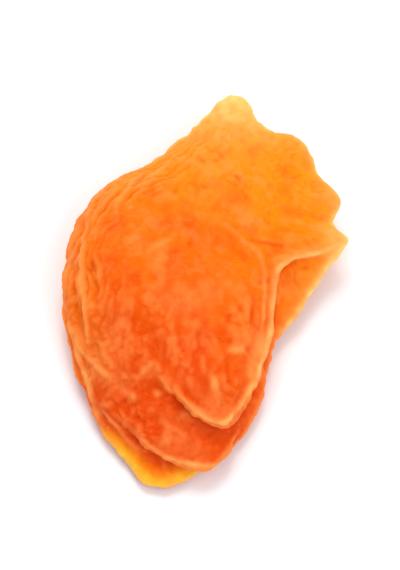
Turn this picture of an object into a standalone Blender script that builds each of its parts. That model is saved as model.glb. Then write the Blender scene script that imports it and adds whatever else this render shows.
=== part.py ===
"""A dried apricot half, folded over on itself and lying with its skin side up.

Seen from above it is a leaf about 47 mm long. The fold runs down its left flank. The upper flap
ends in a lip that overhangs the lower flap along the right and the near end, the lower flap has a
second lip above its own thin rim, and the far right side thins out into a scalloped edge.

The outside is one closed surface of rings. For every bearing round the crown a rib runs from the
crown over both lips to the rim, and back under the fruit to the middle of its underside. Each
ring holds one reach and one height per bearing. Lengths are in mm until the mesh is made.
"""

import math

import bmesh
import bpy
import numpy as np
from mathutils import Vector, noise

MM = 0.001
NAME = "dried_apricot"
FLESH_COLOUR = (0.90, 0.21, 0.03, 1.0)
FLESH_ROUGHNESS = 0.55

# The dome over the crown, and the belly that swells it towards the near end.
CROWN_HEIGHT = 8.4
DOME_POWER = 1.6  # 1 is a cone, 2 a parabola; the fold adds up to 1 to it
FOLD_STEEPNESS = 0.5
BELLY_RISE = 2.0
BELLY_CENTRE = (-1.0, -8.0)
BELLY_SPREAD = (9.0, 12.0)

# Soft lumps of the skin above and of the flesh below.
DOME_RELIEF = 0.7
UNDERSIDE_RELIEF = 0.8
RELIEF_SIZE = 6.0
SUNK = 0.15  # how far the underside would lie in the surface, had it not gone flat there
DOME_LAYER, UNDERSIDE_LAYER, FRILL_LAYER = 0.0, 3.1, 7.3  # which random draw each one takes

# The leathery edge, and the slow waves of the part of it that stands up clear of the surface.
EDGE = 0.8
FRILL = 0.55
FRILL_LENGTH = 5.0
FRILLED_RIM = (2.5, 4.5)  # rim heights between which the waves set in

# The two lips, the slit under each of them and the groove on top inside the upper one.
UPPER_LIP_THICKNESS = 1.3
LOWER_LIP_THICKNESS = 0.9
SLIT = 0.35
UPPER_OVERHANG = 2.6
LOWER_OVERHANG = 1.4
RIM_MARGIN = 0.25  # how far a lip stays inside the rim where it has grown together,
LIP_PAST_RIM = 1.3  # and how far past that the lower lip may reach where it stands free
GROOVE_DEPTH = 0.55
GROOVE_WIDTH = 0.8
GROOVE_INSET = 1.5
LIP_GAP = 0.45  # the least distance between the two lips, seen from above

# Ribs of the rim. Each row has a bearing in degrees (0 is +X, 90 the far tip), the reach from the
# crown, the height of the rim, and its roundness, from 0 for a thin edge to 1 for the thick fold.
RIM = (
    (83, 17.0, 5.6, 0.0),  # far tip
    (76, 16.7, 5.4, 0.0),
    (69, 15.1, 5.1, 0.0),
    (61, 15.0, 4.8, 0.0),
    (54, 16.2, 4.8, 0.0),  # far shoulder
    (44, 16.2, 4.7, 0.0),
    (35, 15.7, 4.4, 0.0),
    (19, 16.7, 4.4, 0.0),
    (12, 15.4, 4.1, 0.0),  # notch
    (5, 17.3, 4.2, 0.0),  # right corner
    (-1, 16.5, 3.6, 0.0),
    (-9, 15.4, 2.9, 0.1),
    (-30, 15.0, 2.0, 0.2),
    (-48, 16.2, 1.7, 0.3),
    (-58, 20.0, 1.5, 0.3),
    (-66, 23.6, 1.3, 0.2),
    (-73, 26.0, 1.2, 0.1),
    (-79, 27.7, 1.0, 0.0),
    (-85, 29.5, 0.9, 0.0),  # near end
    (-90, 29.6, 0.9, 0.0),
    (-96, 27.4, 1.0, 0.0),
    (-104, 24.9, 1.3, 0.1),
    (-113, 22.0, 1.7, 0.4),
    (-125, 18.9, 2.2, 0.7),
    (-150, 15.1, 2.8, 1.0),  # fold
    (177, 12.4, 3.0, 1.0),
    (150, 10.7, 3.2, 0.9),
    (130, 10.0, 3.6, 0.6),
    (110, 10.9, 4.2, 0.3),
    (95, 13.1, 5.0, 0.1),
)

# Ribs of each lip: bearing, reach, and how far the lip stands free of what is under it, from 0,
# where it has grown together, through a crease at about 0.15, to 1.
UPPER_LIP = (
    (4, 15.6, 0.0),
    (-6, 13.0, 0.5),
    (-15, 11.3, 0.8),
    (-27, 11.2, 0.8),
    (-45, 14.6, 0.9),
    (-61, 19.6, 1.0),
    (-72, 23.8, 1.0),
    (-83, 21.5, 1.0),
    (-89, 19.6, 0.8),
    (-96, 18.2, 0.25),
    (-108, 18.7, 0.12),
    (-124, 16.2, 0.16),
    (-150, 12.7, 0.16),
    (-172, 10.4, 0.1),
    (150, 8.2, 0.0),
    (110, 8.8, 0.0),
    (83, 13.0, 0.0),
    (50, 13.0, 0.0),
    (20, 13.6, 0.0),
)
LOWER_LIP = (
    (0, 16.0, 0.0),
    (-30, 13.2, 0.0),
    (-58, 19.0, 0.0),
    (-67, 23.4, 0.1),
    (-72, 26.6, 0.9),
    (-77, 27.8, 1.0),
    (-85, 27.1, 1.0),
    (-91, 26.0, 1.0),
    (-96, 24.3, 0.9),
    (-107, 22.6, 0.6),
    (-118, 19.9, 0.3),
    (-131, 17.2, 0.2),
    (-150, 14.1, 0.15),
    (-172, 12.0, 0.1),
    (150, 9.6, 0.0),
    (110, 10.4, 0.0),
    (83, 15.0, 0.0),
    (50, 14.6, 0.0),
    (20, 15.0, 0.0),
)

# The grid: ribs round the crown, rings from the crown to the upper lip, and rings underneath.
SECTORS = 118
TURN_LENGTH = 1.2  # mm of rim that a turn of one radian counts for when the ribs are spread
CROWN_RINGS = 11
UNDERSIDE_RINGS = 12
ROUNDING = 0.7  # below 1 the rings near the middle are rounder than the outline
LIP_NOSE = (55, 10, -35, -80)  # degrees above the level, round the edge of a lip
RIM_NOSE = (45, 0, -45)
BETWEEN_LIPS = (0.25, 0.5, 0.75, 1)  # shares of the way from under one lip to the next
GROWN_SHARE = 0.6  # of the way out, for the rings of a lip that has grown together

# Shares of the reach, from the middle to the rim: up to FLAT_SHARE the underside is flat, past
# SCALLOPS_FROM the scallops of the rim show on top, and past FRILL_FROM its waves do. A lip lifts
# the skin over the last part of the way out to it, and the belly and the lumps fade before the rim.
FLAT_SHARE = 0.42
SCALLOPS_FROM = 0.5
FRILL_FROM = 0.7
UPPER_LIFT_FROM = 0.35
LOWER_LIFT_FROM = 0.4
BELLY_FADES_FROM = 0.75
LUMPS_FADE_FROM = 0.7
THIN_EDGE_FROM = 0.85
SOFTEN_OVER = 30  # degrees either way over which the inner skin evens the rim out
SOFTEN_STEP = 5


def smoothstep(low, high, value):
    t = np.clip((value - low) / (high - low), 0, 1)
    return t * t * (3 - 2 * t)


def around(rows, bearings):
    """The smooth closed curve through rows of (bearing, value, ...), read at the bearings."""
    table = np.array(sorted(rows), float)
    at = np.concatenate([table[-2:, 0] - 360, table[:, 0], table[:2, 0] + 360])
    values = np.concatenate([table[-2:, 1:], table[:, 1:], table[:2, 1:]])
    slopes = np.gradient(values, at, axis=0)
    turned = (bearings + 180) % 360 - 180
    k = np.searchsorted(at, turned, side="right") - 1
    span = (at[k + 1] - at[k])[:, None]
    t = (turned - at[k])[:, None] / span
    start = values[k] * (1 + 2 * t) * (1 - t) ** 2 + slopes[k] * span * t * (1 - t) ** 2
    end = values[k + 1] * t**2 * (3 - 2 * t) + slopes[k + 1] * span * t**2 * (t - 1)
    return (start + end).T


def rib_bearings(count):
    """Bearings whose ribs are evenly spread along the rim, and closer where it turns."""
    fine = np.linspace(-180, 180, 1441)
    reach = around(RIM, fine)[0]
    steps = np.diff(reach * np.exp(1j * np.radians(fine)))
    turns = np.abs(np.angle(steps / np.roll(steps, 1)))
    along = np.concatenate([[0], np.cumsum(np.abs(steps) + TURN_LENGTH * turns)])
    return np.interp(np.arange(count) / count * along[-1], along, fine)


def softened_rim(bearings):
    """Reach and height of the rim without its scallops, which the inner skin doesn't follow."""
    window = np.arange(-SOFTEN_OVER, SOFTEN_OVER + 1, SOFTEN_STEP)
    return np.mean([around(RIM, bearings + turn)[:2] for turn in window], axis=0)


def lumps(x, y, size, layer):
    """Soft random unevenness between about -1 and 1, over lumps of that size."""
    return np.array([noise.noise(Vector((a / size, b / size, layer))) for a, b in zip(x, y)])


def rounded(outline, share):
    """The outline drawn in to a share of its reach, and rounder the smaller it gets."""
    middle = np.mean(outline)
    return share * (middle + (outline - middle) * share**ROUNDING)


class Fruit:
    """The surface's height over any reach, for one array of bearings."""

    def __init__(self, bearings):
        self.turn = np.radians(bearings)
        self.reach, self.rim_height, roundness = around(RIM, bearings)
        self.roundness = np.clip(roundness, 0, 1)
        self.soft_reach, self.soft_height = softened_rim(bearings)
        self.body = self.reach - EDGE / 2
        upper, upper_free = around(UPPER_LIP, bearings)
        lower, lower_free = around(LOWER_LIP, bearings)
        self.upper_free = np.clip(upper_free, 0, 1)
        self.lower_free = np.clip(lower_free, 0, 1)
        furthest = self.body - RIM_MARGIN + LIP_PAST_RIM * smoothstep(0.5, 1, self.lower_free)
        self.upper = np.minimum(upper, self.body - RIM_MARGIN - LIP_GAP)
        self.lower = np.clip(lower, self.upper + LIP_GAP, furthest)

    def plan(self, r):
        return r * np.cos(self.turn), r * np.sin(self.turn)

    def frill(self, r):
        """The slow wave of the thin edge, up and down."""
        x, y = self.plan(self.reach)
        height = FRILL * (1 - self.roundness) * lumps(x, y, FRILL_LENGTH, FRILL_LAYER)
        height = height * smoothstep(*FRILLED_RIM, self.rim_height)
        return height * smoothstep(FRILL_FROM, 1, r / self.body)

    def dome(self, r):
        """The top without its lips: from the crown down to the rim, steeper at the fold."""
        near_rim = smoothstep(SCALLOPS_FROM, 1, r / self.body)
        reach = self.soft_reach + (self.body - self.soft_reach) * near_rim
        edge_top = self.soft_height + (self.rim_height - self.soft_height) * near_rim + EDGE / 2
        share = np.clip(r / reach, 0, 1)
        power = DOME_POWER + self.roundness
        fall = (1 - share**power) ** (1 - FOLD_STEEPNESS * self.roundness)
        x, y = self.plan(r)
        across = (x - BELLY_CENTRE[0]) / BELLY_SPREAD[0]
        along = (y - BELLY_CENTRE[1]) / BELLY_SPREAD[1]
        belly = BELLY_RISE * np.exp(-(across**2) - along**2)
        belly = belly * smoothstep(1, BELLY_FADES_FROM, share)
        relief = DOME_RELIEF * lumps(x, y, RELIEF_SIZE, DOME_LAYER) * (1 - near_rim)
        return edge_top + (CROWN_HEIGHT - edge_top) * fall + belly + relief + self.frill(r)

    def underside(self, r):
        """The flat spot, then a curl up to the edge: late at the fold, early at the thin rim."""
        share = np.clip((r / self.body - FLAT_SHARE) / (1 - FLAT_SHARE), 0, 1)
        late = 1 - np.sqrt(1 - share**2)
        early = smoothstep(0, THIN_EDGE_FROM, share)
        rise = self.roundness * late + (1 - self.roundness) * early
        x, y = self.plan(r)
        relief = UNDERSIDE_RELIEF * lumps(x, y, RELIEF_SIZE, UNDERSIDE_LAYER) - SUNK
        relief = relief * smoothstep(1, LUMPS_FADE_FROM, share)
        height = (self.rim_height - EDGE / 2) * rise + relief + self.frill(r)
        return np.maximum(height, 0)

    def lower_lift(self, r):
        """How far the lower lip lifts what lies over it."""
        lift = self.lower_free * (SLIT + LOWER_LIP_THICKNESS)
        return lift * smoothstep(LOWER_LIFT_FROM, 1, r / self.lower)

    def crown_rings(self):
        """From the crown to the upper lip, with a groove just inside the lip."""
        rings = []
        for k in range(1, CROWN_RINGS + 1):
            share = math.sin(k / CROWN_RINGS * math.pi / 2)
            r = rounded(self.upper, share)
            lift = self.upper_free * (SLIT + UPPER_LIP_THICKNESS)
            inset = (self.upper - r - GROOVE_INSET) / GROOVE_WIDTH
            groove = GROOVE_DEPTH * self.upper_free * np.exp(-(inset**2))
            lift = lift * smoothstep(UPPER_LIFT_FROM, 1, share)
            rings.append((r, self.dome(r) + self.lower_lift(r) + lift - groove))
        return rings

    def lip_rings(self, start, end, free, thickness, overhang):
        """From a lip at start out to end, as (reach, height above the dome).

        Where the lip stands free the rings go round its edge, back along the slit under it and
        out again. Where it has grown together they lie on the dome.
        """
        nose = [
            (thickness / 2 * math.cos(a), SLIT + thickness / 2 * (1 + math.sin(a)))
            for a in np.radians(LIP_NOSE)
        ]
        slit = [(-overhang / 2, SLIT), (-overhang, SLIT), (-overhang - SLIT / 2, SLIT / 2)]
        folded = nose + slit + [(-overhang, 0)]
        rings = []
        for k, (step, height) in enumerate(folded, 1):
            grown = start + (end - start) * GROWN_SHARE * k / len(folded)
            rings.append((grown + (start + step - grown) * free, height * free))
        for share in BETWEEN_LIPS:
            grown = start + (end - start) * (GROWN_SHARE + (1 - GROWN_SHARE) * share)
            outward = start - overhang + (end - start + overhang) * share
            rings.append((grown + (outward - grown) * free, 0))
        return rings

    def rings(self):
        """All rings as (reach, height), from the crown over the rim to the underside."""
        rings = self.crown_rings()
        upper = (self.upper, self.lower, self.upper_free, UPPER_LIP_THICKNESS, UPPER_OVERHANG)
        for r, height in self.lip_rings(*upper):
            rings.append((r, self.dome(r) + self.lower_lift(r) + height))
        lower = (self.lower, self.body, self.lower_free, LOWER_LIP_THICKNESS, LOWER_OVERHANG)
        for r, height in self.lip_rings(*lower):
            rings.append((r, self.dome(r) + height))
        for angle in np.radians(RIM_NOSE):
            height = self.rim_height + self.frill(self.body) + EDGE / 2 * math.sin(angle)
            rings.append((self.body + EDGE / 2 * math.cos(angle), height))
        for k in range(UNDERSIDE_RINGS):
            r = rounded(self.body, math.cos(k / UNDERSIDE_RINGS * math.pi / 2))
            rings.append((r, self.underside(r)))
        return rings


def closed_surface(name, rings, turn):
    """The mesh of the rings, capped at both poles, its base at z 0 and its middle over X0 Y0."""
    plans = [(r * np.cos(turn), r * np.sin(turn), height) for r, height in rings]
    points = np.array(plans).transpose(0, 2, 1)
    low = points.min(axis=(0, 1))
    high = points.max(axis=(0, 1))
    points -= ((low[0] + high[0]) / 2, (low[1] + high[1]) / 2, low[2])
    mesh = bmesh.new()
    loops = [[mesh.verts.new(Vector(p) * MM) for p in ring] for ring in points]
    for inner, outer in zip(loops, loops[1:]):
        for k in range(len(turn)):
            mesh.faces.new((inner[k - 1], outer[k - 1], outer[k], inner[k]))
    for loop in (loops[0], loops[-1][::-1]):
        pole = mesh.verts.new(sum((v.co for v in loop), Vector()) / len(loop))
        for k in range(len(loop)):
            mesh.faces.new((pole, loop[k - 1], loop[k]))
    data = bpy.data.meshes.new(name)
    mesh.to_mesh(data)
    mesh.free()
    data.shade_smooth()
    return data


def flesh_material():
    material = bpy.data.materials.new("apricot_flesh")
    material.use_nodes = True
    shader = material.node_tree.nodes["Principled BSDF"]
    shader.inputs["Base Color"].default_value = FLESH_COLOUR
    shader.inputs["Roughness"].default_value = FLESH_ROUGHNESS
    shader.inputs["Metallic"].default_value = 0.0
    return material


def main():
    for obj in list(bpy.data.objects):
        bpy.data.objects.remove(obj)
    bearings = rib_bearings(SECTORS)
    fruit = Fruit(bearings)
    data = closed_surface(NAME, fruit.rings(), fruit.turn)
    data.materials.append(flesh_material())
    bpy.context.scene.collection.objects.link(bpy.data.objects.new(NAME, data))


main()
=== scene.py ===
"""A dried apricot half, folded over on itself, lying with its skin side up on a pale floor."""

import math

import bpy
import numpy as np
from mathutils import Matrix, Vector, noise
from mathutils.bvhtree import BVHTree
from mathutils.kdtree import KDTree


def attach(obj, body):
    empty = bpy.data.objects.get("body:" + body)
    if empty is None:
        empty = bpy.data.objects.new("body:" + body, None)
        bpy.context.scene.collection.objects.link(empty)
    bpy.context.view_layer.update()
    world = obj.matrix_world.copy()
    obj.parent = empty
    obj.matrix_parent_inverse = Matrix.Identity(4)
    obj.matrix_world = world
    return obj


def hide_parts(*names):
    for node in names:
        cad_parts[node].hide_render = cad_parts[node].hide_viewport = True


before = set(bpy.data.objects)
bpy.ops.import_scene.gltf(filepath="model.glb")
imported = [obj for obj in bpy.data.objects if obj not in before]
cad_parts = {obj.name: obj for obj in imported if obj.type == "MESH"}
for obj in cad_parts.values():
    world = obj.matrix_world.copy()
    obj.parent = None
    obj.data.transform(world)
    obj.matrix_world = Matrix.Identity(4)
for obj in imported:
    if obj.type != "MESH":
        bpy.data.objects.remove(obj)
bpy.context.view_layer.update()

# ---------------------------------------------------------------------------------------------
# Viewpoint. The fruit is looked down on from in front, a little from its left, from so far away
# that its near end looks no larger than its far one. It fills two thirds of the height.
# ---------------------------------------------------------------------------------------------

VIEW_AZIMUTH = math.radians(9)
VIEW_ELEVATION = math.radians(62)
VIEW_DISTANCE = 0.45
VIEW_HEIGHT = 0.0615  # of the picture, at the fruit
AIM = (0.0, 0.0, 0.004)
FILM = 36.0

bpy.ops.object.camera_add(rotation=(math.pi / 2 - VIEW_ELEVATION, 0, VIEW_AZIMUTH))
camera = bpy.context.object
camera.name = "camera"
camera.data.sensor_width = FILM
camera.data.lens = FILM * VIEW_DISTANCE / VIEW_HEIGHT
camera.data.clip_start = 0.01
back = Vector((0, 0, VIEW_DISTANCE))
back.rotate(camera.rotation_euler)
camera.location = Vector(AIM) + back
bpy.context.scene.camera = camera

# ---------------------------------------------------------------------------------------------
# The fruit. Half an apricot, stoned and dried until its skin is leather and its flesh a firm
# paste. It has folded along its left flank, and shrinking has puckered the skin into wrinkles.
# ---------------------------------------------------------------------------------------------

MM = 0.001
WELD = 0.001 * MM
SKIN_CELL = 0.18 * MM


def pick(piece):
    bpy.ops.object.select_all(action="DESELECT")
    piece.select_set(True)
    bpy.context.view_layer.objects.active = piece


def work(piece, kind, **settings):
    """Puts a modifier on the piece and applies it."""
    pick(piece)
    modifier = piece.modifiers.new(kind, kind)
    for name, value in settings.items():
        setattr(modifier, name, value)
    bpy.ops.object.modifier_apply(modifier=modifier.name)


flesh = bpy.data.objects.new("folded_half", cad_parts["dried_apricot"].data.copy())
bpy.context.scene.collection.objects.link(flesh)
pick(flesh)
bpy.ops.mesh.customdata_custom_splitnormals_clear()
bpy.ops.object.mode_set(mode="EDIT")
bpy.ops.mesh.select_all(action="SELECT")
bpy.ops.mesh.remove_doubles(threshold=WELD)
bpy.ops.mesh.tris_convert_to_quads()
bpy.ops.object.mode_set(mode="OBJECT")
work(flesh, "SUBSURF", levels=2, render_levels=2)
work(flesh, "REMESH", mode="VOXEL", voxel_size=SKIN_CELL)
work(flesh, "SMOOTH", factor=0.5, iterations=3)

# Shrinkage. From here on the skin is worked as an array of points, in mm.


def read(piece):
    """Points in mm and their normals."""
    count = len(piece.data.vertices)
    points = np.empty(count * 3)
    normals = np.empty(count * 3)
    piece.data.vertices.foreach_get("co", points)
    piece.data.vertices.foreach_get("normal", normals)
    return points.reshape(-1, 3) / MM, normals.reshape(-1, 3)


def write(piece, points):
    piece.data.vertices.foreach_set("co", (points * MM).ravel())
    piece.data.update()


def smoothstep(low, high, value):
    t = np.clip((value - low) / (high - low), 0, 1)
    return t * t * (3 - 2 * t)


def fading(gap, width):
    """1 where there is no gap, and next to 0 where it is twice the width."""
    return np.exp(-((gap / width) ** 2))


def lumps(points, size, seed):
    """Soft random values from about -1 to 1, in lumps of a size."""
    moved = points / size + seed
    return np.array([noise.noise(p) for p in moved.tolist()])


def folds(points, seed):
    """Narrow valleys between rounded ridges, from 0 on a ridge to -1 in a valley."""
    return -((1 - np.minimum(np.abs(lumps(points, 1.0, seed)) * 2.2, 1)) ** 2)


def streaks(run, width, length, seed):
    """Broken creases, from 0 to -1 deep, with a width and a length. The run is two coordinates."""
    place = np.stack([run[0] / width, run[1] / length, 0 * run[0]], axis=1)
    return folds(place, seed) * smoothstep(-0.35, 0.25, lumps(place, 1.7, seed + 50))


STEPS = 8  # of a smooth line, from one of its given points to the next


def smooth(curve):
    """Points close together on a smooth line through the curve's own."""
    ends = np.array([curve[0], *curve, curve[-1]], float)
    line = []
    for a, b, c, d in zip(ends, ends[1:], ends[2:], ends[3:]):
        for t in np.linspace(0, 1, STEPS, endpoint=False):
            bend = 2 * a - 5 * b + 4 * c - d + t * (3 * (b - c) + d - a)
            line.append(b + 0.5 * t * (c - a + t * bend))
    return np.array(line + [ends[-1]])


CLEAR = 20  # mm up, where nothing of the fruit reaches


def draped(line, skin):
    """The line in plan, let down on to the skin."""
    heights = []
    for x, y in line.tolist():
        met = skin.ray_cast((x, y, CLEAR), (0, 0, -1))[0]
        heights.append(met.z if met else 0)
    return np.column_stack([line, heights])


def along(line, points):
    """Distance from each point to a line, and how far along it, from 0 to 1."""
    points = points[:, : line.shape[1]]
    best = np.full(len(points), np.inf)
    where = np.zeros(len(points))
    for k, (start, end) in enumerate(zip(line, line[1:])):
        step = end - start
        t = np.clip((points - start) @ step / (step @ step + 1e-9), 0, 1)
        gap = np.linalg.norm(points - start - t[:, None] * step, axis=1)
        nearer = gap < best
        best[nearer] = gap[nearer]
        where[nearer] = ((k + t) / (len(line) - 1))[nearer]
    return best, where


def neighbours(piece):
    edges = np.empty(len(piece.data.edges) * 2, int)
    piece.data.edges.foreach_get("vertices", edges)
    return edges.reshape(-1, 2)


def evened(values, edges, rounds):
    """Values per point, each replaced in every round by the mean of its neighbours."""
    a, b = edges.T
    count = np.bincount(np.concatenate([a, b]), minlength=len(values))
    for _ in range(rounds):
        if values.ndim == 1:
            total = np.bincount(a, values[b], len(values)) + np.bincount(b, values[a], len(values))
            values = total / count
        else:
            values = np.stack([evened(column, edges, 1) for column in values.T], axis=1)
    return values


MAX_DEPTH = 6.0  # of flesh, in mm: more makes no difference
INSET = 0.3
JUST_INSIDE = 0.02


def thickness(skin, points, normals):
    """How much flesh there is at each point of the skin, in mm: straight in, or up and down."""
    up = Vector((0, 0, 1))
    depth = []
    for point, normal in zip(map(Vector, points), map(Vector, normals)):
        inward = skin.ray_cast(point - JUST_INSIDE * normal, -normal)[3] or MAX_DEPTH
        inside = point - INSET * normal
        upright = skin.ray_cast(inside, up)[3] or MAX_DEPTH
        upright += skin.ray_cast(inside, -up)[3] or MAX_DEPTH
        depth.append(min(inward, upright, MAX_DEPTH))
    return np.array(depth)


def distance_to(picked, points):
    """From each point to the nearest of the picked ones."""
    tree = KDTree(int(picked.sum()))
    for number, point in enumerate(points[picked].tolist()):
        tree.insert(point, number)
    tree.balance()
    return np.array([tree.find(point)[2] for point in points.tolist()])


def standing_out(points, normals, edges, rounds):
    """How far each point stands out of the skin round it, in mm. More rounds look wider."""
    return np.einsum("ij,ij->i", points - evened(points, edges, rounds), normals)


def skin_of(piece):
    """The piece's skin in mm, for rays to meet."""
    return BVHTree.FromPolygons(read(piece)[0].tolist(), [p.vertices[:] for p in piece.data.polygons])


# Where a lip isn't free it eases down into what lies below it: the upper one under the corner and
# at its left end, and the lower one along the left.
JOIN_WIDTH = 1.1
JOINS = (
    ((8.4, 0.2), (8.9, 1.8), (10.0, 3.2), (11.4, 4.4), (13.2, 5.8)),
    ((-4.6, -13.2), (-3.2, -12.9), (-2.2, -13.4), (-1.2, -14.2)),
    ((-10.4, -13.2), (-9.3, -14.8), (-7.2, -16.6), (-5.0, -18.5)),
)
points, normals = read(flesh)
edges = neighbours(flesh)
eased = evened(points, edges, 60) - points
skin = skin_of(flesh)
for line in JOINS:
    gap = along(draped(smooth(line), skin), points)[0]
    points += fading(gap, JOIN_WIDTH)[:, None] * eased
write(flesh, points)

# The thin edge is where there is little flesh and the skin stands upright. That of the near rim
# lies lower than the lips do.
THIN = 1.5
UPRIGHT = 0.35
LOW = 1.7
points, normals = read(flesh)
x, y, z = points.T
rolled = standing_out(points, normals, edges, 30)
skin = skin_of(flesh)
thick = evened(thickness(skin, points, normals), edges, 2)
thin_edge = (thick < THIN) & (np.abs(normals[:, 2]) < UPRIGHT)
to_edge = distance_to(thin_edge, points)
to_near_rim = distance_to(thin_edge & (z < LOW), points)
top = smoothstep(-0.25, 0.25, normals[:, 2])

# The skin wanders before its wrinkles are laid on it, so that they don't run straight. They run
# along the rim on the folded flank, out from the crown beyond the dome, and every way on it.
drift = np.stack([lumps(points, 5.0, seed) for seed in (11.3, 23.9, 37.1)], axis=1)
drift += 0.4 * np.stack([lumps(points, 1.8, seed) for seed in (2.9, 41.3, 17.7)], axis=1)
wandering = points + 1.3 * drift
LEFT_RIM = (
    (-4.3, 16.4), (-9.0, 11.8), (-13.3, 6.5), (-14.9, 1.0), (-14.6, -4.0),
    (-13.4, -8.5), (-11.0, -13.2), (-8.2, -17.6), (-5.0, -21.0), (-3.0, -22.6),
)
RIM_LENGTH = 44.0
CROWN = (-2.0, 6.4)  # from where the outward creases run
ROUND_THE_CROWN = 12.0  # mm to a radian, so that creases keep their width far out from it
from_rim, along_rim = along(smooth(LEFT_RIM), wandering)
on_flank = (from_rim, along_rim * RIM_LENGTH)
flank = smoothstep(6.5, 2.5, from_rim)
reach = np.hypot(wandering[:, 0] - CROWN[0], wandering[:, 1] - CROWN[1])
bearing = np.arctan2(wandering[:, 1] - CROWN[1], wandering[:, 0] - CROWN[0])
outward_run = (ROUND_THE_CROWN * bearing, reach)
beyond = smoothstep(8, 14, reach) * (1 - flank)

# Parts of the fruit, from 0 outside to 1 inside. The flange is its thin far right side.
near_end = smoothstep(2, -14, y)
lower_flap = smoothstep(-11, -16, y)
flange = smoothstep(-1, 6, x + 0.3 * y) * smoothstep(2, 8, y)
far_end = smoothstep(4, 11, y)
slack = 0.5 + 0.6 * flank + 0.4 * near_end - 0.3 * flange

# How far the skin rises: lumps of three sizes, and then creases of a width and a length. Creases
# that are taken away are ridges. The last number of each says which random draw it takes.
rise = 0.28 * lumps(points, 4.5, 5.5)
rise += 0.18 * slack * lumps(points, 2.2, 8.2)
rise += 0.08 * lumps(points, 1.2, 3.4)
rise += 0.26 * flank * streaks(on_flank, 0.9, 4.0, 2.7)
rise += 0.15 * flank * streaks(on_flank, 0.5, 2.0, 9.1)
rise += 0.14 * slack * beyond * streaks(outward_run, 1.1, 3.6, 6.1)
rise += 0.10 * slack * beyond * streaks(outward_run, 0.6, 1.8, 12.6)
rise += 0.10 * slack * (1 - flank) * streaks(wandering.T, 1.7, 1.7, 14.2)
rise += 0.08 * slack * streaks(points.T + 0.6 * drift.T, 0.8, 1.0, 21.4)
rise += 0.08 * smoothstep(10, 15, reach) * (1 - near_end) * streaks(outward_run, 0.8, 2.5, 27.7)
rise += 0.11 * far_end * streaks(points.T + 0.6 * drift.T, 0.9, 1.2, 51.2)
rise += 0.14 * lower_flap * streaks(wandering.T, 0.9, 1.2, 31.8)
rise -= 0.10 * lower_flap * streaks(points.T + 0.8 * drift.T, 0.7, 0.9, 44.1)
rise -= np.median(rise)

# The lips taper to a thin edge.
lip = smoothstep(0, -5, y) * smoothstep(2.3, 2.9, z) * fading(to_edge, 0.7)
rise -= 0.35 * lip * top

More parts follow.
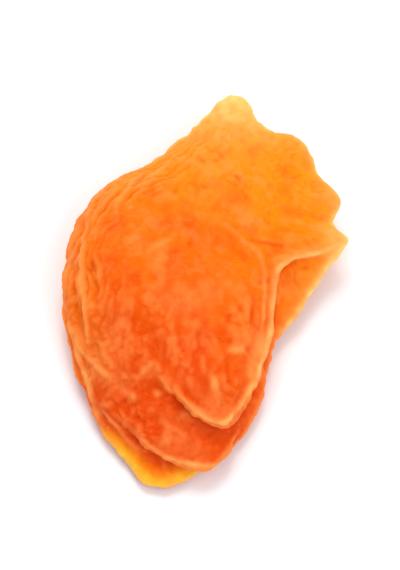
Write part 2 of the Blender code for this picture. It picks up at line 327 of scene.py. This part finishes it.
# Pleats, seen from above: the line in mm, how far it stands up, its width, and how pale it is. A height
# below zero makes a crease, and with none only the colour changes. A paleness above zero is a painted
# highlight along the pleat, and one above 1 a straw-coloured painted highlight. A paleness below zero
# is red, as painted shade in a crease and under a lip.
PLEATS = (
    # The upper lip: below the corner, down the right, round the near end and up to its left end.
    (((8.1, 0.7), (8.2, 1.7), (8.8, 2.7), (9.7, 3.7), (11.0, 4.8), (12.3, 5.7), (14.0, 6.9)),
     0.35, 0.3, 1.7),
    (((8.1, 0.9), (8.3, -1.5), (8.4, -3.5), (8.3, -5.4), (8.1, -7.9), (7.8, -10.2), (7.2, -12.7),
      (6.3, -14.6)), 0.15, 0.55, 1.6),
    (((7.5, -5.0), (7.5, -7.0), (7.3, -9.0), (7.1, -11.0)), 0.05, 0.8, 1.0),
    (((7.2, -12.7), (6.3, -14.6), (5.8, -15.9), (4.9, -16.6), (3.5, -16.6), (1.9, -15.9),
      (0.4, -15.0)), 0.2, 0.42, 1.5),
    (((1.9, -15.9), (0.3, -14.9), (-0.9, -14.1), (-1.6, -13.4), (-2.6, -12.7)), 0.15, 0.3, 0.8),
    (((-6.4, -12.6), (-5.4, -12.9), (-4.3, -12.7), (-3.7, -11.9), (-3.0, -11.6), (-2.0, -12.9)),
     0.1, 0.38, 0.4),
    # Along the inside of that lip.
    (((1.3, 5.0), (2.8, 4.5), (4.3, 3.6), (5.8, 2.9), (6.8, 1.1), (7.2, -0.7)), 0.12, 0.3, 0.5),
    (((6.9, 1.3), (7.2, -1.4), (7.3, -3.5), (7.4, -5.4)), 0.14, 0.3, 0.9),
    (((6.1, -2.0), (6.3, -4.1), (6.4, -5.6)), -0.22, 0.5, -0.7),
    (((3.8, -5.1), (4.0, -6.1)), -0.2, 0.45, -0.7),
    (((4.9, -3.7), (5.2, -4.7)), -0.2, 0.45, -0.6),
    (((7.3, 0.6), (7.4, -0.2)), -0.2, 0.3, -0.8),
    (((4.8, 4.0), (6.7, 4.4), (8.6, 4.9)), -0.15, 0.22, -0.45),
    (((4.2, -8.7), (5.3, -8.5), (6.2, -8.0)), 0.2, 0.42, 1.0),
    (((3.4, -11.8), (3.6, -12.8), (3.9, -13.6)), 0.15, 0.4, 1.0),
    (((1.8, -9.9), (2.4, -12.0)), 0.12, 0.25, 0.5),
    (((1.0, -7.1), (1.4, -9.8), (1.1, -12.5)), -0.12, 0.3, -0.35),
    (((4.4, -7.4), (4.6, -9.8), (5.1, -12.4)), -0.15, 0.35, -0.4),
    # The edge of the face below the corner.
    (((14.6, 7.2), (13.4, 5.0), (12.2, 2.4), (11.0, -0.5), (9.9, -2.7), (9.1, -3.6)), 0.1, 0.5, 1.45),
    # The folded flank: two long pleats, the rim below them and what lies between.
    (((-12.5, 8.2), (-13.2, 5.7), (-13.0, 2.9), (-12.8, -0.3), (-12.5, -2.8), (-11.7, -5.4),
      (-11.0, -7.8), (-10.6, -9.4), (-10.3, -11.0)), 0.3, 0.34, 1.0),
    (((-14.8, -2.0), (-14.1, -4.4), (-13.2, -6.8), (-12.0, -8.9), (-10.7, -10.5), (-8.9, -12.0),
      (-7.5, -13.0), (-6.1, -14.1), (-4.6, -15.1)), 0.3, 0.5, 1.0),
    (((-13.9, -5.1), (-13.0, -7.4), (-11.9, -9.9), (-10.8, -12.1), (-9.8, -14.0), (-8.8, -15.9),
      (-7.8, -17.5)), 0.1, 0.5, 1.2),
    (((-13.4, -2.6), (-12.9, -4.2)), -0.4, 0.35, -1.0),
    (((-12.7, -5.0), (-12.3, -6.8)), -0.4, 0.35, -1.0),
    (((-11.7, -0.8), (-11.4, -2.3)), -0.3, 0.3, -0.9),
    (((-12.6, -7.8), (-12.2, -8.9)), -0.3, 0.35, -1.0),
    (((-12.4, -6.9), (-11.2, -9.3), (-9.3, -11.4), (-7.3, -13.0), (-5.6, -14.2)), 0, 1.5, 0.45),
    (((-13.3, 6.3), (-12.8, 7.7), (-11.9, 8.6)), 0.2, 0.35, 0.9),
    (((-10.1, 4.4), (-9.7, 6.6), (-8.9, 8.7), (-7.8, 10.8)), 0.22, 0.35, 0.6),
    (((-9.0, 7.4), (-8.3, 9.2), (-7.4, 11.2)), -0.3, 0.3, -0.5),
    (((-7.7, 7.7), (-6.9, 9.7), (-5.8, 12.0), (-5.1, 14.4)), 0.25, 0.35, 0.6),
    # The lower flap: its lip, and pleats and creases that run down to it.
    (((-3.5, -18.6), (-2.2, -20.0), (-0.2, -20.7), (2.1, -20.8), (4.7, -20.5), (5.6, -19.5),
      (5.4, -18.7)), 0.25, 0.32, 1.25),
    (((-3.9, -17.3), (-3.5, -18.8)), 0.1, 0.3, 0.4),
    (((-9.0, -15.3), (-7.5, -16.4), (-6.1, -17.4), (-5.0, -18.6), (-3.4, -19.7)), 0.15, 0.3, 0.8),
    (((-10.0, -12.6), (-9.7, -14.0), (-9.3, -15.0)), 0.2, 0.34, 1.1),
    (((-8.9, -15.3), (-7.0, -15.6)), 0.12, 0.3, 0.7),
    (((-5.0, -14.4), (-4.5, -15.3)), 0.18, 0.42, 0.9),
    (((-2.6, -13.9), (-2.0, -14.6)), 0.15, 0.35, 0.6),
    (((-1.9, -16.7), (-0.8, -17.3), (0.6, -17.8), (1.9, -18.4)), 0.15, 0.32, 0.4),
    (((-0.5, -19.3), (-0.1, -18.4), (1.3, -18.7)), 0.12, 0.32, 0.35),
    (((-8.3, -13.9), (-7.7, -14.5)), -0.25, 0.5, -0.9),
    (((-6.0, -15.0), (-5.5, -15.4)), -0.25, 0.45, -0.9),
    (((-7.2, -17.8), (-5.9, -18.9), (-4.6, -19.7), (-3.1, -20.7)), -0.1, 0.4, -1.0),
    # Painted shade: dark red on the lower flap under the upper lip, and on its right end below that
    # lip.
    (((-2.6, -15.9), (-0.9, -16.8), (0.7, -17.4), (2.3, -17.8), (4.4, -17.9), (6.0, -17.3)),
     -0.15, 1.15, -1.3),
    (((4.4, -17.9), (6.0, -17.0), (7.0, -15.3), (7.8, -13.0)), 0, 1.1, -1.2),
    # The far end and the dome.
    (((-2.0, 15.3), (-0.8, 14.1)), -0.14, 0.25, -0.4),
    (((-1.0, 15.0), (0.7, 13.4)), -0.14, 0.25, -0.4),
    (((-0.6, 17.0), (0.6, 15.8)), -0.14, 0.25, -0.4),
    (((-2.5, 13.9), (-1.2, 12.3)), -0.14, 0.25, -0.4),
    (((1.1, 11.7), (3.3, 11.2)), -0.12, 0.3, -0.5),
    (((-5.7, 11.9), (-4.3, 12.6), (-2.7, 12.5), (-1.2, 11.5), (-0.2, 10.1), (1.3, 9.2)),
     0.08, 0.35, 0.35),
    (((-5.8, -0.3), (-4.7, 1.0), (-3.1, 2.1)), 0.08, 0.35, 0.35),
    # Patches of colour.
    (((-0.5, -9.6), (1.4, -11.2), (3.4, -13.4)), -0.2, 1.6, -1.1),
    (((2.4, -6.8), (4.0, -7.8)), 0, 1.2, -0.7),
    (((-3.9, -4.8), (-1.3, -4.6), (1.1, -4.1), (2.6, -4.4)), 0, 1.7, 0.4),
    (((-0.5, -12.0), (1.8, -12.9), (4.0, -13.2)), 0, 1.6, -0.8),
    (((-4.2, -9.0), (-1.5, -9.2)), 0, 1.4, -0.5),
    (((1.1, 7.5), (2.7, 8.6), (4.0, 9.6)), 0, 1.5, -0.7),
    (((-0.9, 2.3), (1.5, 2.8), (3.9, 3.8)), 0, 1.5, -0.35),
)

# The skin gets a painted highlight where it rolls over an edge, and painted shade in the slits under
# the lips. The pleats come and go along their lines.
highlight_and_pale = 0.45 * smoothstep(0.05, 0.2, rolled)
brightest_highlight = np.zeros(len(points))
# Painted shade on the walls under the lips' edges, except at their left end.
shade_and_red = 0.6 * lip * smoothstep(0.4, -0.1, normals[:, 2]) * smoothstep(-6, -2, x)
uneven = np.clip(0.75 + 0.9 * lumps(points, 1.4, 4.4) + 0.5 * lumps(points, 0.6, 8.8), 0, 1)
for line, height, width, paleness in PLEATS:
    gap, share = along(draped(smooth(line), skin), points)
    ends = np.sin(np.pi * np.clip(share, 0.01, 0.99)) ** 0.6
    form = fading(gap, width) * ends * top
    rise += height * form * (0.4 + 0.6 * uneven)
    highlight_and_pale = np.maximum(highlight_and_pale, paleness * form * (0.25 + 0.75 * uneven))
    brightest_highlight = np.maximum(brightest_highlight, (paleness - 1) * form * (0.25 + 0.75 * uneven))
    shade_and_red = np.maximum(shade_and_red, -paleness * form)

# The thin edge is nibbled where it tore and shrank unevenly. Creases are shallower on it, and
# nowhere deeper than a share of the flesh under them.
DEEPEST = 0.28
on_edge = smoothstep(1.2, 0.1, to_edge)
rise *= 1 - 0.5 * on_edge
rise = np.maximum(rise, -DEEPEST * thick)
outward = normals * (1, 1, 0.2)
nibble = 0.12 * lumps(points, 0.7, 7.7) + 0.16 * lumps(points, 1.3, 3.1)
nibble += 0.18 * lumps(points, 2.3, 1.9)
nibble -= 0.06
tip = points[y.argmax()]
points = points + normals * rise[:, None] + outward * (nibble * on_edge)[:, None]
points[:, 2] = np.maximum(points[:, 2], 0)
write(flesh, points)

points, normals = read(flesh)
x, y, z = points.T
fine = standing_out(points, normals, edges, 8)
broad = standing_out(points, normals, edges, 40)


def mark(piece, name, values):
    layer = piece.data.attributes.new(name, "FLOAT", "POINT")
    layer.data.foreach_set("value", np.clip(values, 0, 1).astype(np.float32))


# Painted glow of light shining through the skin where it is thin: along the far side and the face below
# the corner, and on top of the near rim.
CORNER = (14.5, 7.0)
far_side = smoothstep(-2, 5, y) * smoothstep(-14, -7, x)
facet = smoothstep(8.6, 9.8, x) * smoothstep(-5, -2, y)
near_rim = smoothstep(-16.5, -20, y) * smoothstep(2.6, 1.8, z)
near_rim *= smoothstep(-0.7, 0.0, normals[:, 2])
bright_edge = np.clip(far_side + 0.5 * facet, 0, 1)
from_tip = np.hypot(x - tip[0], y - tip[1])
from_corner = np.hypot(x - CORNER[0], y - CORNER[1])

# Painted glow along the thin edges, at the tip, at the corner and on the near rim, with the painted
# highlights of the brightest pleats.
straw_glow_and_highlight = bright_edge * (0.15 * fading(to_edge, 1.4) + 0.5 * fading(to_edge, 0.45))
straw_glow_and_highlight += 0.8 * fading(from_tip, 5.0) + 0.5 * fading(from_corner, 2.0)
straw_glow_and_highlight += 0.3 * near_rim * fading(to_near_rim, 0.45) + brightest_highlight
mark(flesh, "straw_glow_and_highlight", straw_glow_and_highlight * (0.9 + 0.5 * lumps(points, 0.9, 15.3)))

# Painted glow along the thin edges and the near rim, and painted light on the face below the corner and
# along the folded left rim.
amber_and_glow = bright_edge * np.exp(-to_edge / 2.5) + 0.1 * facet
amber_and_glow += near_rim * smoothstep(2.7, 1.5, to_near_rim)
amber_and_glow += 0.5 * smoothstep(5, 2, from_rim) * smoothstep(-14, -8, y)
mark(flesh, "amber_and_glow", amber_and_glow)

# Painted glow through the thin near rim, on its upper side.
yellow_glow = near_rim * smoothstep(1.7, 0.6, to_near_rim)
mark(flesh, "yellow_glow", yellow_glow * (0.8 + 0.4 * lumps(points, 1.5, 6.2)))
mark(flesh, "highlight_and_pale", evened(highlight_and_pale, edges, 1))
# The low part of the lower flap, which the material makes redder, partly as painted shade.
mark(flesh, "lower_flap", lower_flap * smoothstep(7, 5.5, z))

# Painted shade in the hollows, with the pleats' painted shade and red patches. A painted highlight and
# a paler bloom go on the crests, less of it on the lower flap.
hollow_shade_and_red = 0.6 * smoothstep(0.0, -0.07, fine) + 0.6 * smoothstep(0.0, -0.2, broad) + shade_and_red
mark(flesh, "hollow_shade_and_red", evened(hollow_shade_and_red, edges, 1))
crest_highlight_and_bloom = 0.6 * smoothstep(0.0, 0.07, fine) + 0.6 * smoothstep(0.0, 0.2, broad)
mark(flesh, "crest_highlight_and_bloom", evened(crest_highlight_and_bloom * (1 - 0.6 * lower_flap), edges, 1))
flesh.data.shade_smooth()


class Wire:
    """An output socket of a material's nodes. Sums and products of wires add Math nodes."""

    def __init__(self, tree, socket=None):
        self.tree = tree
        self.socket = socket

    def node(self, kind, inputs, output=0, **settings):
        """A new node, with its settings made before its sockets are filled or linked."""
        made = self.tree.nodes.new("ShaderNode" + kind)
        for name, value in settings.items():
            setattr(made, name, value)
        for name, value in inputs.items():
            if isinstance(value, Wire):
                self.tree.links.new(value.socket, made.inputs[name])
            else:
                made.inputs[name].default_value = value
        return Wire(self.tree, made.outputs[output])

    def maths(self, operation, *values):
        return self.node("Math", dict(enumerate(values)), operation=operation)

    def __add__(self, other):
        return self.maths("ADD", self, other)

    def __sub__(self, other):
        return self.maths("SUBTRACT", self, other)

    def __rsub__(self, other):
        return self.maths("SUBTRACT", other, self)

    def __mul__(self, other):
        return self.maths("MULTIPLY", self, other)

    __radd__ = __add__
    __rmul__ = __mul__

    def between(self, low, high):
        """0 below low, 1 above high and smooth in between."""
        inputs = {"Value": self, "From Min": low, "From Max": high}
        return self.node("MapRange", inputs, interpolation_type="SMOOTHSTEP")

    def mixed(self, other, share):
        """This colour with a share of the other one. A Mix node's colours are sockets 6 and 7."""
        return self.node("Mix", {0: share, 6: self, 7: other}, 2, data_type="RGBA")


def apricot_flesh():
    """Orange leather: a painted yellow glow where it's thin, painted shade in red in the folds, and
    painted highlights and a paler bloom on the crests.
    """
    material = bpy.data.materials.new("apricot_flesh")
    material.use_nodes = True
    tree = material.node_tree
    shader = tree.nodes["Principled BSDF"]
    new = Wire(tree)
    place = new.node("TexCoord", {}, "Object")
    x, y = (new.node("SeparateXYZ", {0: place}, axis) for axis in "XY")

    def speckle(size, detail=2.0, roughness=0.5, output="Fac"):
        inputs = {"Vector": place, "Scale": 1 / (size * MM), "Detail": detail, "Roughness": roughness}
        return new.node("TexNoise", inputs, output)

    def marked(name):
        return new.node("Attribute", {}, "Fac", attribute_name=name)

    red = (0.73, 0.060, 0.001, 1)
    orange = (0.94, 0.160, 0.001, 1)
    amber_and_glow = (0.97, 0.29, 0.003, 1)
    yellow_glow = (0.98, 0.50, 0.025, 1)
    straw_glow_and_highlight = (0.98, 0.60, 0.17, 1)
    pink = (0.98, 0.31, 0.070, 1)

    # The skin is grained like leather: small soft cells, drawn out of shape, that come and go.
    inputs = {0: speckle(1.1, output="Color"), "Scale": 0.9 * MM}
    pull = new.node("VectorMath", inputs, operation="SCALE")
    drawn = new.node("VectorMath", {0: place, 1: pull}, operation="ADD")

    def cells(size):
        """Domed cells of a size: 1 on top, and 0 in the creases between them."""
        inputs = {"Vector": drawn, "Scale": 1 / (size * MM)}
        gap = new.node("TexVoronoi", inputs, "Distance", feature="DISTANCE_TO_EDGE")
        return gap.between(-0.1, 0.5)

    grain = cells(0.8) * speckle(1.7).between(0.35, 0.65)
    grain = grain + cells(0.38) * speckle(1.2).between(0.4, 0.65) * 0.4
    grain = grain + speckle(0.35, 3, 0.6) * 0.8

    # Its colour, from the whole fruit down to its speckles, and then what was marked on it. Its red
    # towards the near end and on the lower flap is partly painted shade, and its amber towards the far
    # end partly a painted glow through the thin flesh there.
    reach = y + 0.35 * x + (speckle(7) - 0.5) * (10 * MM)
    near = (y * -1 - 0.1 * x).between(2 * MM, 11 * MM)
    base = new.node("Mix", {0: reach.between(-20 * MM, 4 * MM), 6: red, 7: orange}, 2, data_type="RGBA")
    base = base.mixed(red, near * 0.33 + marked("lower_flap") * 0.15)
    base = base.mixed(red, speckle(4.5).between(0.47, 0.7) * 0.4)
    base = base.mixed(pink, speckle(5.5).between(0.5, 0.72) * 0.3)
    base = base.mixed(amber_and_glow, reach.between(0.0, 15 * MM) * 0.68)
    base = base.mixed(red, speckle(2.2).between(0.48, 0.7) * 0.3)
    base = base.mixed(pink, speckle(2.6).between(0.52, 0.68) * 0.28)
    base = base.mixed(pink, speckle(1.0, 3).between(0.55, 0.68) * 0.15)
    base = base.mixed(red, marked("hollow_shade_and_red") * (0.7 - reach.between(4 * MM, 16 * MM) * 0.25))
    base = base.mixed(amber_and_glow, marked("amber_and_glow") * 0.5)
    base = base.mixed(pink, marked("crest_highlight_and_bloom") * 0.4)
    base = base.mixed(pink, marked("highlight_and_pale"))
    base = base.mixed(yellow_glow, marked("yellow_glow"))
    base = base.mixed(straw_glow_and_highlight, marked("straw_glow_and_highlight"))

    shader.inputs["Base Color"].default_value = orange
    tree.links.new(base.socket, shader.inputs["Base Color"])
    rough = speckle(0.9, 3) * 0.25 + 0.45
    tree.links.new(rough.socket, shader.inputs["Roughness"])
    bump = new.node("Bump", {"Height": grain, "Distance": 0.07 * MM, "Strength": 1.0})
    tree.links.new(bump.socket, shader.inputs["Normal"])
    shader.inputs["Subsurface Weight"].default_value = 0.4
    shader.inputs["Subsurface Radius"].default_value = (1.0, 0.45, 0.2)
    shader.inputs["Subsurface Scale"].default_value = 1.0 * MM
    shader.inputs["Specular IOR Level"].default_value = 0.13
    shader.inputs["Specular Tint"].default_value = (1.0, 0.7, 0.3, 1)
    return material


flesh.data.materials.clear()
flesh.data.materials.append(apricot_flesh())
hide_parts("dried_apricot")
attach(flesh, "root")

# ---------------------------------------------------------------------------------------------
# Floor and light. A matt white floor under one wide soft light from the far left, with a weaker
# one from the right and a pale room round them.
# ---------------------------------------------------------------------------------------------

FLOOR_WIDTH = 3.0

bpy.ops.mesh.primitive_plane_add(size=FLOOR_WIDTH)
floor = bpy.context.object
floor.name = "floor"
paper = bpy.data.materials.new("white_paper")
paper.use_nodes = True
matt = paper.node_tree.nodes["Principled BSDF"]
matt.inputs["Base Color"].default_value = (0.92, 0.92, 0.93, 1)
matt.inputs["Roughness"].default_value = 0.9
floor.data.materials.append(paper)


def soft_light(name, place, size, watts, colour):
    bpy.ops.object.light_add(type="AREA", location=place)
    light = bpy.context.object
    light.name = name
    light.rotation_euler = Vector(place).to_track_quat("Z", "Y").to_euler()
    light.data.size = size
    light.data.energy = watts
    light.data.color = colour


soft_light("window", (-0.15, 0.53, 0.75), 0.5, 4.5, (1.0, 0.98, 0.95))
soft_light("fill", (0.5, -0.4, 0.6), 0.6, 2.0, (1.0, 0.97, 0.98))

# The room is white to look at, and lights the fruit a little less than that.
ROOM_LIGHT = 0.77

world = bpy.data.worlds.new("pale_room")
world.use_nodes = True
backdrop = world.node_tree.nodes["Background"]
backdrop.inputs["Color"].default_value = (1.0, 0.98, 1.0, 1)
seen = world.node_tree.nodes.new("ShaderNodeLightPath").outputs["Is Camera Ray"]
strength = world.node_tree.nodes.new("ShaderNodeMapRange")
strength.inputs["To Min"].default_value = ROOM_LIGHT
world.node_tree.links.new(seen, strength.inputs["Value"])
world.node_tree.links.new(strength.outputs["Result"], backdrop.inputs["Strength"])
bpy.context.scene.world = world
bpy.context.scene.view_settings.view_transform = "Standard"
